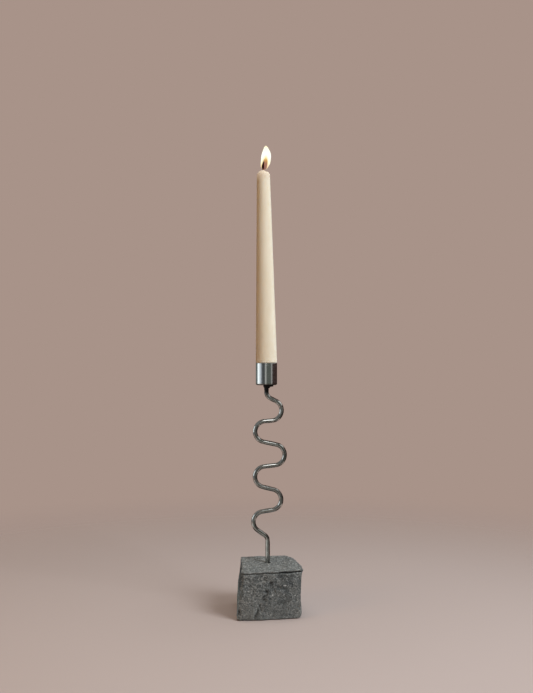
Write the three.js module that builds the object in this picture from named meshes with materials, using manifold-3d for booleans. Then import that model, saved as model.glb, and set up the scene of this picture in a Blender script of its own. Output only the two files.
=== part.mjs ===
// Candle holder: a hewn stone block carries a steel rod bent into a standing wave, with a cup
// welded on top that takes a taper candle. Millimetres, +Z up, +X to the right of the wave,
// origin under the middle of the block, on the table.
import * as THREE from "three";
import { mergeVertices } from "three/addons/utils/BufferGeometryUtils.js";
import Module from "manifold-3d";

// Stone block
const stoneWidth = 70.8;
const stoneDepth = 74;
const stoneHeight = 50.4;
const stoneCell = 5;
const sideHollow = 1.5;
const topTilt = 1.9;
const topPitch = 2;
const reliefHeight = 0.5;
const flatRadius = 10;

// Split faces of the block: direction in degrees, and how deep each one cuts in from the outermost corner
const splitFaces = [
  { azimuth: -85, elevation: 1, depth: 5.5 }, // front, left of the ridge
  { azimuth: -79, elevation: -2, depth: 9.7 }, // front, right of the ridge, leaning out at the top
  { azimuth: -178, elevation: 6, depth: 7.8 }, // left side, flaring out to the foot and the back
  { azimuth: 13, elevation: 0, depth: 11.2 }, // right side, falling away to the back
  { azimuth: 29, elevation: 8, depth: 15.2 }, // back right corner
  { azimuth: 138, elevation: 12, depth: 3.8 }, // back left corner
  { azimuth: -140, elevation: 8, depth: 8.4 }, // front left edge
  { azimuth: 90, elevation: 50, depth: 1 }, // broken edges of the top
  { azimuth: 180, elevation: 48, depth: 3.6 },
  { azimuth: 8, elevation: 50, depth: 2.2 },
  { azimuth: -90, elevation: -48, depth: 1.2 }, // broken edges of the foot
  { azimuth: 90, elevation: -45, depth: 3 },
  { azimuth: 180, elevation: -42, depth: 2.2 },
  { azimuth: 0, elevation: -38, depth: 2.2 },
  { azimuth: -140, elevation: -34, depth: 3 }, // front left corner of the foot
  { azimuth: -42, elevation: -30, depth: 5.4 }, // front right corner of the foot
];

// Felt pads under the block
const padDiameter = 12;
const padThickness = 1;
const padInset = 16;

// Steel rod, set in a drilled hole with resin
const rodDiameter = 5;
const rodX = -1.1;
const rodY = 5.5;
const boreDiameter = 6.5;
const boreDepth = 30;
const rodEndClearance = 0.4;
const bondGap = 0.15;
const resinRecess = 0.5;

// Bends of the rod, from the stone up
const footStraight = 23.1;
const neckStraight = 7.3;
const bendRadius = 11.3;
const setBendRadius = 8;
const stemRuns = [
  { slope: 33.5, length: 8 }, // off the foot, to the left
  { slope: 9, length: 11 },
  { slope: 13, length: 11 },
  { slope: 6.5, length: 12 },
  { slope: 11.5, length: 14 },
  { slope: 4, length: 7.5 },
  { slope: 25, length: 5.7 }, // back under the cup
];
const rodStep = 2.4;

// Cup and its weld
const cupDiameter = 23;
const cupHeight = 23.7;
const cupWall = 0.8;
const cupFloor = 1.2;
const cupCorner = 1.6;
const rimBevel = 0.2;
const weldSpread = 2.9;
const weldLean = 0.7;
const weldToe = 0.6;
const weldHeight = 3.4;
const weldEdge = 1.8;
const weldRound = 0.8;

// Taper candle, leaning a little to the left in the cup
const candleLength = 207.4;
const candleTipDiameter = 14.2;
const domeHeight = 5.5;
const candleLean = 0.92;
const shoulderInset = 0.05;
const shoulderRound = 0.6;
const seatClearance = 0.1;
const tailLength = 14;
const tailClearance = 0.5;
const tailDraft = 0.5;
const wickDiameter = 2.2;
const wickGap = 0.2;
const wickStandOut = 8.6;
const wickCurl = 1.1;

const wasm = await Module();
wasm.setup();

const quarter = Math.PI / 2;
const rodRadius = rodDiameter / 2;
const boreRadius = boreDiameter / 2;
const cupRadius = cupDiameter / 2;
const cupBore = cupRadius - cupWall;
const stoneTop = padThickness + stoneHeight;
const boreBottom = stoneTop - boreDepth;
const rodHole = rodRadius + bondGap;

const radians = THREE.MathUtils.degToRad;
const smoothstep = THREE.MathUtils.smoothstep;
const finish = (color, roughness, metalness) =>
  new THREE.MeshStandardMaterial({ color, roughness, metalness });

const stoneFinish = finish(0x686864, 0.95, 0);
const steelFinish = finish(0x8a8884, 0.4, 1);
const weldFinish = finish(0x1d1b1a, 0.7, 0.6);
const cupFinish = finish(0xc2c6c8, 0.18, 1);
const waxFinish = finish(0xdccbb0, 0.5, 0);
const wickFinish = finish(0x2b211c, 0.95, 0);
const feltFinish = finish(0x2c2b2b, 1, 0);
const resinFinish = finish(0x2f2c29, 0.3, 0);

function piece(name, geometry, material, x = 0, y = 0, z = 0) {
  const mesh = new THREE.Mesh(geometry, material);
  mesh.name = name;
  mesh.position.set(x, y, z);
  return mesh;
}

// A profile of (radius, height) points, turned about the vertical axis
function turned(points, sides) {
  return new THREE.LatheGeometry(points, sides).rotateX(quarter);
}

function closedProfile(path, divisions) {
  const points = path.getPoints(divisions);
  points.push(points[0].clone());
  return points;
}

function ring(innerRadius, outerRadius, low, high, sides) {
  const profile = new THREE.Path();
  profile.moveTo(innerRadius, low);
  profile.lineTo(outerRadius, low);
  profile.lineTo(outerRadius, high);
  profile.lineTo(innerRadius, high);
  return turned(closedProfile(profile), sides);
}

// A round bar along a path drawn in the (x, z) plane
class UprightCurve extends THREE.Curve {
  constructor(path) {
    super();
    this.path = path;
  }
  getPoint(t, target = new THREE.Vector3()) {
    const { x, y } = this.path.getPoint(t);
    return target.set(x, 0, y);
  }
}

function bar(path, radius, step, halfSides) {
  const section = new THREE.Shape().absarc(0, 0, radius, 0, 4 * quarter);
  return new THREE.ExtrudeGeometry(section, {
    extrudePath: new UprightCurve(path),
    steps: Math.round(path.getLength() / step),
    curveSegments: halfSides,
  });
}

function weldedVertices(geometry) {
  geometry.deleteAttribute("normal");
  geometry.deleteAttribute("uv");
  return mergeVertices(geometry, 1e-3);
}

function solid(geometry) {
  const merged = weldedVertices(geometry);
  const vertProperties = merged.attributes.position.array;
  const triVerts = new Uint32Array(merged.index.array);
  return new wasm.Manifold(new wasm.Mesh({ numProp: 3, vertProperties, triVerts }));
}

function geometryOf(manifold) {
  const { vertProperties, triVerts } = manifold.getMesh();
  const geometry = new THREE.BufferGeometry();
  geometry.setAttribute("position", new THREE.BufferAttribute(vertProperties, 3));
  geometry.setIndex(new THREE.BufferAttribute(triVerts, 1));
  geometry.computeVertexNormals();
  return geometry;
}

// Presses whatever stands beyond a split face back onto it; point is measured from the block's middle
function split(point, half, { azimuth, elevation, depth }) {
  const turn = radians(azimuth);
  const rise = radians(elevation);
  const normal = new THREE.Vector3(
    Math.cos(turn) * Math.cos(rise),
    Math.sin(turn) * Math.cos(rise),
    Math.sin(rise),
  );
  const corner = new THREE.Vector3(Math.abs(normal.x), Math.abs(normal.y), Math.abs(normal.z)).dot(half);
  const over = point.dot(normal) - (corner - depth);
  if (over > 0) point.addScaledVector(normal, -over);
}

// The hewn block: a box whose grid is hollowed, split by the faces above and roughened
function hewnBlock() {
  const half = new THREE.Vector3(stoneWidth, stoneDepth, stoneHeight).multiplyScalar(0.5);
  const box = weldedVertices(
    new THREE.BoxGeometry(
      stoneWidth,
      stoneDepth,
      stoneHeight,
      Math.round(stoneWidth / stoneCell),
      Math.round(stoneDepth / stoneCell),
      Math.round(stoneHeight / stoneCell),
    ),
  );
  const points = box.attributes.position;
  const point = new THREE.Vector3();
  const away = new THREE.Vector3();
  for (let i = 0; i < points.count; i++) {
    point.fromBufferAttribute(points, i);
    const across = point.x / half.x;
    const along = point.y / half.y;
    const height = point.z / half.z;
    const onTop = height > 0.999;
    const fromRod = smoothstep(Math.hypot(point.x - rodX, point.y - rodY), flatRadius, 2 * flatRadius);
    away.set(across ** 5, along ** 5, height ** 5).normalize();
    const relief =
      Math.sin(0.29 * point.x + 0.17 * point.y + 0.8) * Math.sin(0.23 * point.z - 0.21 * point.y + 1.9) +
      0.6 * Math.sin(0.47 * point.x - 0.39 * point.z + 0.5) * Math.sin(0.43 * point.y + 0.31 * point.z);
    if (across > 0.999) point.x -= sideHollow * (1 - height * height);
    for (const face of splitFaces) split(point, half, face);
    point.addScaledVector(away, reliefHeight * relief * (onTop ? fromRod : 1));
    if (onTop) point.z += 0.5 * (topTilt * across + topPitch * along) * fromRod;
    if (point.z < -half.z + 2 * reliefHeight) point.z = -half.z;
    points.setXYZ(i, point.x, point.y, point.z);
  }
  box.computeBoundingBox();
  const middle = box.boundingBox.getCenter(new THREE.Vector3());
  return box.translate(-middle.x, -middle.y, half.z + padThickness);
}

// A twist-drilled hole with its cone at the bottom, open past the top of the block
function drilledHole() {
  const cone = boreRadius * Math.tan(radians(31));
  const above = stoneHeight;
  const profile = [
    new THREE.Vector2(0, -cone),
    new THREE.Vector2(boreRadius, 0),
    new THREE.Vector2(boreRadius, boreDepth + above),
    new THREE.Vector2(0, boreDepth + above),
  ];
  return turned(profile, 32).translate(rodX, rodY, boreBottom);
}

// The rod's centreline, walked up from the hole; each bend turns the rod to the heading of its run
function rodPath() {
  const path = new THREE.Path();
  const pen = new THREE.Vector2(0, stoneTop + footStraight);
  const polar = (angle, length) => new THREE.Vector2(Math.cos(angle), Math.sin(angle)).multiplyScalar(length);
  path.moveTo(0, boreBottom + rodEndClearance);
  path.lineTo(pen.x, pen.y);
  let heading = quarter;
  let turn = 1;
  for (let i = 0; i <= stemRuns.length; i++) {
    const run = stemRuns[i];
    const slope = run ? radians(run.slope) : quarter;
    const next = turn > 0 ? 2 * quarter - slope : slope;
    const radius = i === 0 || !run ? setBendRadius : bendRadius;
    const side = turn * quarter;
    const centre = polar(heading + side, radius).add(pen);
    path.absarc(centre.x, centre.y, radius, heading - side, next - side, turn < 0);
    pen.copy(centre).add(polar(next - side, radius));
    if (run) pen.add(polar(next, run.length));
    heading = next;
    turn = -turn;
  }
  const neckTop = pen.y + neckStraight;
  path.lineTo(pen.x, neckTop + cupFloor);
  return { path, neckX: rodX + pen.x, neckTop };
}

// A drawn cup with a rounded foot, a broken rim and a hole in its floor for the rod's end
function cupGeometry() {
  const profile = new THREE.Path();
  profile.moveTo(rodHole, 0);
  profile.lineTo(cupRadius - cupCorner, 0);
  profile.absarc(cupRadius - cupCorner, cupCorner, cupCorner, -quarter, 0);
  profile.lineTo(cupRadius, cupHeight - rimBevel);
  profile.lineTo(cupRadius - rimBevel, cupHeight);
  profile.lineTo(cupBore + rimBevel, cupHeight);
  profile.lineTo(cupBore, cupHeight - rimBevel);
  profile.lineTo(cupBore, cupFloor + cupWall);
  profile.lineTo(cupBore - cupWall, cupFloor);
  profile.lineTo(rodHole, cupFloor);
  return turned(closedProfile(profile, 4), 48);
}

// The weld under the cup: a thick bead that runs down onto the rod and was laid on from the right
function weldGeometry() {
  const edge = rodHole + weldSpread;
  const profile = new THREE.Path();
  profile.moveTo(rodHole, 0);
  profile.lineTo(rodHole, -weldHeight);
  profile.lineTo(rodHole + weldToe, -weldHeight);
  profile.quadraticCurveTo(rodHole + weldToe, -weldEdge, edge - weldRound, -weldEdge);
  profile.absarc(edge - weldRound, weldRound - weldEdge, weldRound, -quarter, 0);
  profile.lineTo(edge, 0);
  const bead = turned(closedProfile(profile, 5), 32);
  const points = bead.attributes.position;
  for (let i = 0; i < points.count; i++) {
    const x = points.getX(i);
    const y = points.getY(i);
    const radius = Math.hypot(x, y);
    const stretch = 1 + (weldLean * (x / radius) * (radius - rodHole)) / radius;
    points.setXY(i, x * stretch, y * stretch);
  }
  return bead;
}

// The candle, measured from the middle of the cup's rim: a drawn-in tail, a shoulder that rests
// on the rim, the long taper and a melted dome round the wick
function waxGeometry() {
  const wickHole = wickDiameter / 2 + wickGap;
  const shoulder = cupRadius - shoulderInset;
  const seat = seatClearance + Math.sin(radians(candleLean)) * shoulder;
  const tail = cupBore - tailClearance;
  const tip = candleTipDiameter / 2;
  const domeFoot = candleLength - domeHeight;
  const profile = new THREE.Path();
  profile.moveTo(wickHole, -tailLength);
  profile.lineTo(tail - tailDraft, -tailLength);
  profile.lineTo(tail, seat);
  profile.lineTo(shoulder - shoulderRound, seat);
  profile.quadraticCurveTo(shoulder, seat, shoulder, seat + shoulderRound);
  profile.lineTo(tip, domeFoot);
  profile.bezierCurveTo(
    0.97 * tip, domeFoot + 0.5 * domeHeight,
    0.62 * tip, candleLength - 0.12 * domeHeight,
    wickHole, candleLength,
  );
  return turned(closedProfile(profile, 8), 40);
}

// The wick, through the whole candle, its burnt end curling to the right
function wickGeometry() {
  const path = new THREE.Path();
  const straightTop = candleLength + 0.4 * wickStandOut;
  const tipHeight = candleLength + wickStandOut;
  path.moveTo(0, -tailLength);
  path.lineTo(0, straightTop);
  path.quadraticCurveTo(0, 0.5 * (straightTop + tipHeight), wickCurl, tipHeight);
  return bar(path, wickDiameter / 2, wickDiameter, 4);
}

const candleHolder = new THREE.Group();

const padX = stoneWidth / 2 - padInset;
const padY = stoneDepth / 2 - padInset;
const padPlaces = {
  felt_pad_front_left: [-padX, -padY],
  felt_pad_front_right: [padX, -padY],
  felt_pad_back_left: [-padX, padY],
  felt_pad_back_right: [padX, padY],
};
for (const [name, [x, y]] of Object.entries(padPlaces)) {
  const disc = new THREE.CylinderGeometry(padDiameter / 2, padDiameter / 2, padThickness, 28).rotateX(quarter);
  candleHolder.add(piece(name, disc, feltFinish, x, y, padThickness / 2));
}

const block = geometryOf(solid(hewnBlock()).subtract(solid(drilledHole())));
candleHolder.add(piece("stone_base", block, stoneFinish));

const sleeve = ring(rodHole, boreRadius - bondGap, bondGap, boreDepth - resinRecess, 32);
candleHolder.add(piece("resin_sleeve", sleeve, resinFinish, rodX, rodY, boreBottom));

const rod = rodPath();
candleHolder.add(piece("wavy_stem", bar(rod.path, rodRadius, rodStep, 7), steelFinish, rodX, rodY, 0));

candleHolder.add(piece("weld_bead", weldGeometry(), weldFinish, rod.neckX, rodY, rod.neckTop));
candleHolder.add(piece("candle_cup", cupGeometry(), cupFinish, rod.neckX, rodY, rod.neckTop));

const candle = new THREE.Group();
candle.position.set(rod.neckX, rodY, rod.neckTop + cupHeight);
candle.rotation.y = -radians(candleLean);
candle.add(piece("candle_wax", waxGeometry(), waxFinish));
candle.add(piece("wick", wickGeometry(), wickFinish));
candleHolder.add(candle);

export default candleHolder;
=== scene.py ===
import math
from functools import partial

import bmesh
import bpy
import numpy as np
from mathutils import Matrix, Vector, noise


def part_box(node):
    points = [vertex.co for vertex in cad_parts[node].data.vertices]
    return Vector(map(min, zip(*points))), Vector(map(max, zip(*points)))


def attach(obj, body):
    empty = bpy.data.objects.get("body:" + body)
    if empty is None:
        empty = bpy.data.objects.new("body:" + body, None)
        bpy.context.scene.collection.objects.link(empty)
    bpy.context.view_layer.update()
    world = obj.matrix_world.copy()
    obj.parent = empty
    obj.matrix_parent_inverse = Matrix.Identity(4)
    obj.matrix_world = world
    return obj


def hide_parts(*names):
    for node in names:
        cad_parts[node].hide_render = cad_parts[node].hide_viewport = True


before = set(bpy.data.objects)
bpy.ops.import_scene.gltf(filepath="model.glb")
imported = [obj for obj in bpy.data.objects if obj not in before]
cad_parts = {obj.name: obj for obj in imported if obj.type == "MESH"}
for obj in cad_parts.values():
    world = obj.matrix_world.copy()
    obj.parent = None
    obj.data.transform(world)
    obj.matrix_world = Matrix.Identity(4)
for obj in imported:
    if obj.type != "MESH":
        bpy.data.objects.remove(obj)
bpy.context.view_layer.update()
mm = 0.001
print("frame in place:", ", ".join(sorted(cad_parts)))


def newObject(name, data):
    made = bpy.data.objects.new(name, data)
    bpy.context.collection.objects.link(made)
    return made


def hide(made, *rays):  # not seen by these rays
    for ray in rays:
        setattr(made, "visible_" + ray, False)


# Camera

camera = {
    "place": (-2.3 * mm, -1031.7 * mm, 284 * mm),  # level, looking along +Y
    "lens": 50,
    "sensor": 36,
}


def setCamera():
    data = bpy.data.cameras.new("photoCamera")
    data.lens = camera["lens"]
    data.sensor_width = camera["sensor"]
    shown = newObject("photoCamera", data)
    shown.location = camera["place"]
    shown.rotation_euler = (math.radians(90), 0, 0)
    bpy.context.scene.camera = shown


setCamera()
print("camera set")

# Mesh helpers


def inMm(**sizes):  # settings in millimetres, as metres
    return {name: (np.array(size) * mm).tolist() for name, size in sizes.items()}


def halfDepth(node):  # radius of a round node
    low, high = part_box(node)
    return (high.y - low.y) / 2


def smoothStep(low, high, value):
    share = np.clip((np.asarray(value) - low) / (high - low), 0, 1)
    return share * share * (3 - 2 * share)


def bump1d(value, middle, spread):  # a soft bump, 1 in its middle
    return np.exp(-(((np.asarray(value) - middle) / spread) ** 2))


def arc(middleR, middleZ, radius, fromDeg, toDeg, steps):  # round stretch of a turned profile
    angles = np.radians(np.linspace(fromDeg, toDeg, steps + 1))
    return [(middleR + radius * math.cos(a), middleZ + radius * math.sin(a)) for a in angles]


def along(start, end, steps):  # straight stretch of a profile, without its last point
    return [tuple(np.add(start, np.subtract(end, start) * i / steps)) for i in range(steps)]


def ringAngles(sides):
    return np.linspace(0, 2 * math.pi, sides, endpoint=False)


def turned(profile, sides):  # rings of a (radius, height) profile about the Z axis
    angles = ringAngles(sides)
    circle = np.column_stack([np.cos(angles), np.sin(angles)])
    return np.array([np.column_stack([circle * r, np.full(sides, z)]) for r, z in profile])


def loft(rings, loop=False):  # skins a stack of rings, or a loop of them
    count, sides = rings.shape[:2]
    points = rings.reshape(-1, 3).tolist()
    faces = []
    for i in range(count if loop else count - 1):
        low, high = i * sides, (i + 1) % count * sides
        faces += [(low + j, low + (j + 1) % sides, high + (j + 1) % sides, high + j) for j in range(sides)]
    if not loop:
        for first in (0, (count - 1) * sides):
            points.append(np.mean(points[first:first + sides], axis=0).tolist())
            faces += [(first + j, first + (j + 1) % sides, len(points) - 1) for j in range(sides)]
    return points, faces


def newMesh(name, points, faces):
    mesh = bpy.data.meshes.new(name)
    mesh.from_pydata(points, [], faces)
    return mesh


def addPiece(name, shape, look, body, standsFor=(), crease=38):
    mesh = newMesh(name, *shape)
    work = bmesh.new()
    work.from_mesh(mesh)
    bmesh.ops.recalc_face_normals(work, faces=work.faces)
    for face in work.faces:
        face.smooth = True
    for edge in work.edges:
        edge.smooth = edge.calc_face_angle(0) < math.radians(crease)
    work.to_mesh(mesh)
    work.free()
    return settle(newObject(name, mesh), look, body, standsFor)


def settle(made, look, body, standsFor):  # finish and body of a piece, and hides the parts it stands for
    made.data.materials.clear()
    made.data.materials.append(look)
    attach(made, body)
    if standsFor:
        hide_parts(*standsFor)
    return made


def noiseOn(points, size, seed):  # soft noise, about -0.8 to 0.8, of that grain
    shift = Vector((seed * 13.7, seed * 5.1, seed * 9.3))
    return np.array([noise.noise(Vector(p) / size + shift) for p in points])


def ringNoise(rings, size, seed):
    return noiseOn(rings.reshape(-1, 3).tolist(), size, seed).reshape(rings.shape[:2])


def chipsOn(points, size, seed):  # flat tilted chips, one to each broken grain
    shift = Vector((seed * 7.9, seed * 3.3, seed * 11.9))
    level = Vector((0.5, 0.5, 0.5))
    heights = []
    for p in points:
        place = Vector(p) / size + shift
        middle = noise.voronoi(place)[1][0]
        tilt = (noise.cell_vector(middle * 31.7) - level) * 2
        heights.append(0.45 * noise.cell(middle * 17.3) + tilt.dot(place - middle))
    return np.array(heights)


# Shader helpers


def paint(red, green, blue):  # a colour as the eye sees it, 0 to 255
    shares = [c / 255 for c in (red, green, blue)]
    return (*[c / 12.92 if c <= 0.04045 else ((c + 0.055) / 1.055) ** 2.4 for c in shares], 1.0)


def addNode(tree, kind, sockets=None, **settings):
    made = tree.nodes.new("ShaderNode" + kind)
    for name, value in settings.items():
        setattr(made, name, value)
    for name, value in (sockets or {}).items():
        if isinstance(value, bpy.types.NodeSocket):
            tree.links.new(value, made.inputs[name])
        else:
            made.inputs[name].default_value = value
    return made


def newFinish(name, **sockets):  # a Principled finish with its constants set
    look = bpy.data.materials.new(name)
    look.use_nodes = True
    shader = look.node_tree.nodes["Principled BSDF"]
    for socket, value in sockets.items():
        shader.inputs[socket.replace("_", " ")].default_value = value
    return look, shader, addNode(look.node_tree, "TexCoord").outputs["Object"]


def onMesh(place, name):  # a value painted on the mesh
    return addNode(place.id_data, "Attribute", attribute_name=name).outputs["Fac"]


def axes(place):
    return addNode(place.id_data, "SeparateXYZ", {"Vector": place}).outputs


def stretched(place, scale):
    return addNode(place.id_data, "Mapping", {"Vector": place, "Scale": scale}).outputs["Vector"]


def mottle(place, size, detail=3.0, roughness=0.55):  # noise of that grain, in metres
    sockets = {"Vector": place, "Scale": 1 / size, "Detail": detail, "Roughness": roughness}
    return addNode(place.id_data, "TexNoise", sockets).outputs["Fac"]


def grains(place, size):  # one random value for each crystal
    cells = addNode(place.id_data, "TexVoronoi", {"Vector": place, "Scale": 1 / size})
    return addNode(place.id_data, "SeparateColor", {"Color": cells.outputs["Color"]}).outputs[0]


def ramp(factor, stops, interpolation="LINEAR"):
    made = addNode(factor.id_data, "ValToRGB", {"Fac": factor})
    band = made.color_ramp
    band.interpolation = interpolation
    while len(band.elements) < len(stops):
        band.elements.new(1.0)
    for element, (position, colour) in zip(band.elements, stops):
        element.position = position
        element.color = colour
    return made.outputs["Color"]


def levels(stops):  # stops of a grey ramp
    return [(at, (level, level, level, 1)) for at, level in stops]


def spread(value, fromLow, fromHigh, toLow, toHigh):  # smooth step from one range to another
    sockets = {0: value, 1: fromLow, 2: fromHigh, 3: toLow, 4: toHigh}
    return addNode(value.id_data, "MapRange", sockets, interpolation_type="SMOOTHSTEP").outputs["Result"]


def treeOf(*values):  # node tree of the first value that is a socket
    return next(v.id_data for v in values if isinstance(v, bpy.types.NodeSocket))


def calc(operation, first, second=0.0):
    return addNode(treeOf(first, second), "Math", {0: first, 1: second}, operation=operation).outputs[0]


plus, minus, times, over = (partial(calc, name) for name in ("ADD", "SUBTRACT", "MULTIPLY", "DIVIDE"))


def mixed(factor, first, second, blend="MIX"):
    sockets = {0: factor, 6: first, 7: second}
    tree = treeOf(factor, first, second)
    return addNode(tree, "Mix", sockets, data_type="RGBA", blend_type=blend).outputs[2]


def join(value, shader, socket):
    value.id_data.links.new(value, shader.inputs[socket])


def roughen(height, depth, shader, strength=1.0):
    sockets = {"Height": height, "Distance": depth, "Strength": strength}
    join(addNode(height.id_data, "Bump", sockets).outputs["Normal"], shader, "Normal")


def crusted(shader, crust, tints, gloss, depth):  # colour, roughness and relief from one noise
    join(ramp(crust, tints), shader, "Base Color")
    join(spread(crust, 0.3, 0.7, *gloss), shader, "Roughness")
    roughen(crust, depth, shader)


# Hewn stone block

stone = inMm(
    voxel=0.56,
    swell=(19, 0.30),  # grain and height of each layer of the split faces
    flake=(4.4, 0.17),
    crystal=(1.6, 0.13),
    grain=(1.1, 0.14),
    pit=(2.2, 0.55),
    topTilt=1.9,  # rise of the top from left to right, and to the back
    topPitch=2.0,
    lipDrop=1.6,  # undercut below the front edge of the top
    lipHeight=0.75,
    lipDepth=2.1,
    splitFoot=(-14.2, 3.4),  # the split line on the front, as (x, z)
    splitHead=(3.4, 37.5),
    splitDepth=1.0,
    splitWidth=1.4,
    splitShade=(0.7, 2.3),  # reach of its painted shade, left and right
    splitStray=1.6,  # how far it wanders
    splitBow=2.0,  # how far it bows to the left
    splitStep=0.45,
    boreRim=(0.2, 2.5),  # no relief nearer to the hole, all further out
    footFill=(-25, 5.5, 1.6),  # chip filled at its foot: x, half width, height
    tornEnd=(30, 22),  # the torn side fades out between these
    hollowDepth=0.3,
) | dict(
    pitLevel=(0.40, 0.66),  # noise where a pit starts and is deepest
    topShare=0.55,  # relief left on the dressed top
    roughSide=1.5,  # more relief right of the split line
    edgeWear=0.35,
    wearLevel=(0.1, 0.5),  # noise where an edge is chipped
    dents=[  # knocks on the front: x, z, width, height and depth in mm, and share of painted shade
        (-31.4, 9.2, 2.2, 2.7, 1.3, 1.1), (2.7, 38.6, 3.0, 2.2, 1.2, 1.1), (-2.2, 29.8, 2.1, 1.6, 1.1, 1.3),
        (-5.1, 21.9, 1.5, 1.6, 0.9, 1.0), (12.0, 33.0, 4.0, 3.0, 0.8, 0.4), (17.0, 31.8, 2.8, 1.8, 0.8, 0.5),
        (20.5, 19.7, 2.0, 3.2, 0.7, 0.5), (-7.6, 11.6, 1.9, 2.3, 0.7, 0.45),
    ],
    quartz=[  # pale spots on the front: x, z, width and height in mm
        (17.2, 35.6, 2.4, 0.8), (4.2, 26.0, 0.9, 1.2),
    ],
    corner=((-31, -32, 44), (7, 9, 20), 1.3),  # fuller front left: middle, reach, swell in mm
    overhang=((34, -30, 50.6), (5, 9, 2.2), 1.4),  # front right corner of the top, likewise
    wearRounds=14,
    hollowRounds=5,
)


def stoneFinish():
    look, shader, place = newFinish("hewnGranite", Specular_IOR_Level=0.3)
    coarse = ramp(grains(place, 1.25 * mm), [
        (0.00, paint(60, 63, 64)), (0.18, paint(93, 96, 95)), (0.42, paint(113, 116, 114)),
        (0.72, paint(132, 135, 133)), (0.92, paint(171, 173, 170)),
    ], "CONSTANT")
    fine = ramp(grains(place, 0.8 * mm), [
        (0.00, paint(62, 65, 66)), (0.20, paint(100, 103, 102)), (0.55, paint(121, 124, 122)),
        (0.88, paint(173, 175, 172)),
    ], "CONSTANT")
    dressed = onMesh(place, "dressed")
    body = mixed(spread(dressed, 0, 1, 0.5, 0.4), coarse, fine)
    pale = [(0.3, paint(222, 225, 226)), (0.7, paint(255, 255, 254))]
    body = mixed(1, body, ramp(mottle(place, 15 * mm), pale), "MULTIPLY")
    torn = onMesh(place, "torn")
    patches = [(0.36, paint(192, 196, 200)), (0.64, paint(252, 252, 252))]
    body = mixed(torn, body, ramp(mottle(place, 7 * mm), patches), "MULTIPLY")
    height = axes(place)["Z"]
    dust = spread(height, 2 * mm, 40 * mm, 0.16, 0.0)
    body = mixed(dust, body, paint(156, 157, 151))  # most at its foot
    level = plus(height, times(mottle(place, 12 * mm), 24 * mm))
    blue = [(0.0, (1.44, 1.98, 2.6, 1)), (1.0, (0.62, 0.78, 1.0, 1))]
    weather = ramp(spread(level, 34 * mm, 60 * mm, 0, 1), blue)
    body = mixed(onMesh(place, "oldFace"), body, weather, "MULTIPLY")  # painted shade and blue tint on the left-facing faces, darker towards the top
    hollow = spread(onMesh(place, "hollow"), 0.15, 0.9, 0, 1)
    soot = plus(times(torn, 0.25), 0.35)
    # painted shade in the hollows, more on the torn side
    body = mixed(times(hollow, soot), body, paint(44, 46, 46))
    crest = spread(onMesh(place, "crest"), 0.3, 0.9, 0, 0.2)
    body = mixed(crest, body, paint(150, 152, 148))
    picked = ramp(mottle(place, 3.6 * mm, 4, 0.6), levels([(0.36, 1.2), (0.64, 1.68)]))
    body = mixed(dressed, body, picked, "MULTIPLY")  # marks of the chisel, and the top painted lighter as if lit from above
    crack = spread(onMesh(place, "crack"), 0.1, 0.9, 0, 0.85)
    # painted shadow
    body = mixed(crack, body, paint(30, 31, 31))
    quartz = spread(onMesh(place, "quartz"), 0.2, 0.9, 0, 0.8)
    # pale spots on the front
    body = mixed(quartz, body, paint(192, 194, 191))
    join(body, shader, "Base Color")
    glint = grains(place, 1.6 * mm)
    join(spread(glint, 0.86, 0.95, 0.93, 0.5), shader, "Roughness")
    roughen(plus(mottle(place, 0.7 * mm, 4), glint), 0.2 * mm, shader)
    return look


def meshArrays(mesh):
    points = np.empty(len(mesh.vertices) * 3)
    normals = np.empty(len(mesh.vertices) * 3)
    edges = np.empty(len(mesh.edges) * 2, int)
    mesh.vertices.foreach_get("co", points)
    mesh.vertices.foreach_get("normal", normals)
    mesh.edges.foreach_get("vertices", edges)
    return points.reshape(-1, 3), normals.reshape(-1, 3), edges.reshape(-1, 2)


def relaxed(points, edges, rounds):  # points moved amid their neighbours
    ends = np.concatenate([edges, edges[:, ::-1]])
    count = np.bincount(ends[:, 0], minlength=len(points))
    for _ in range(rounds):
        near = [np.bincount(ends[:, 0], points[ends[:, 1], k], len(points)) for k in range(3)]
        points = np.column_stack(near) / count[:, None]
    return points


def splitLine(x, z):  # distance right of the split line, and where along it
    foot, head = np.array(stone["splitFoot"]), np.array(stone["splitHead"])
    length = np.linalg.norm(head - foot)
    run = (head - foot) / length
    across = (x - foot[0]) * run[1] - (z - foot[1]) * run[0]
    reach = ((x - foot[0]) * run[0] + (z - foot[1]) * run[1]) / length
    return across, reach


def swollen(points, middle, reach, swell):  # a soft lump about that place, all in mm
    return swell * mm * np.prod(bump1d(points, np.array(middle) * mm, np.array(reach) * mm), axis=1)


def dressedTop(points, normals):  # 1 on the worked top of the block, 0 on the split faces
    return smoothStep(0.6, 0.92, normals[:, 2]) * (points[:, 2] > 0.8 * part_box("stone_base")[1].z)


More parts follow.
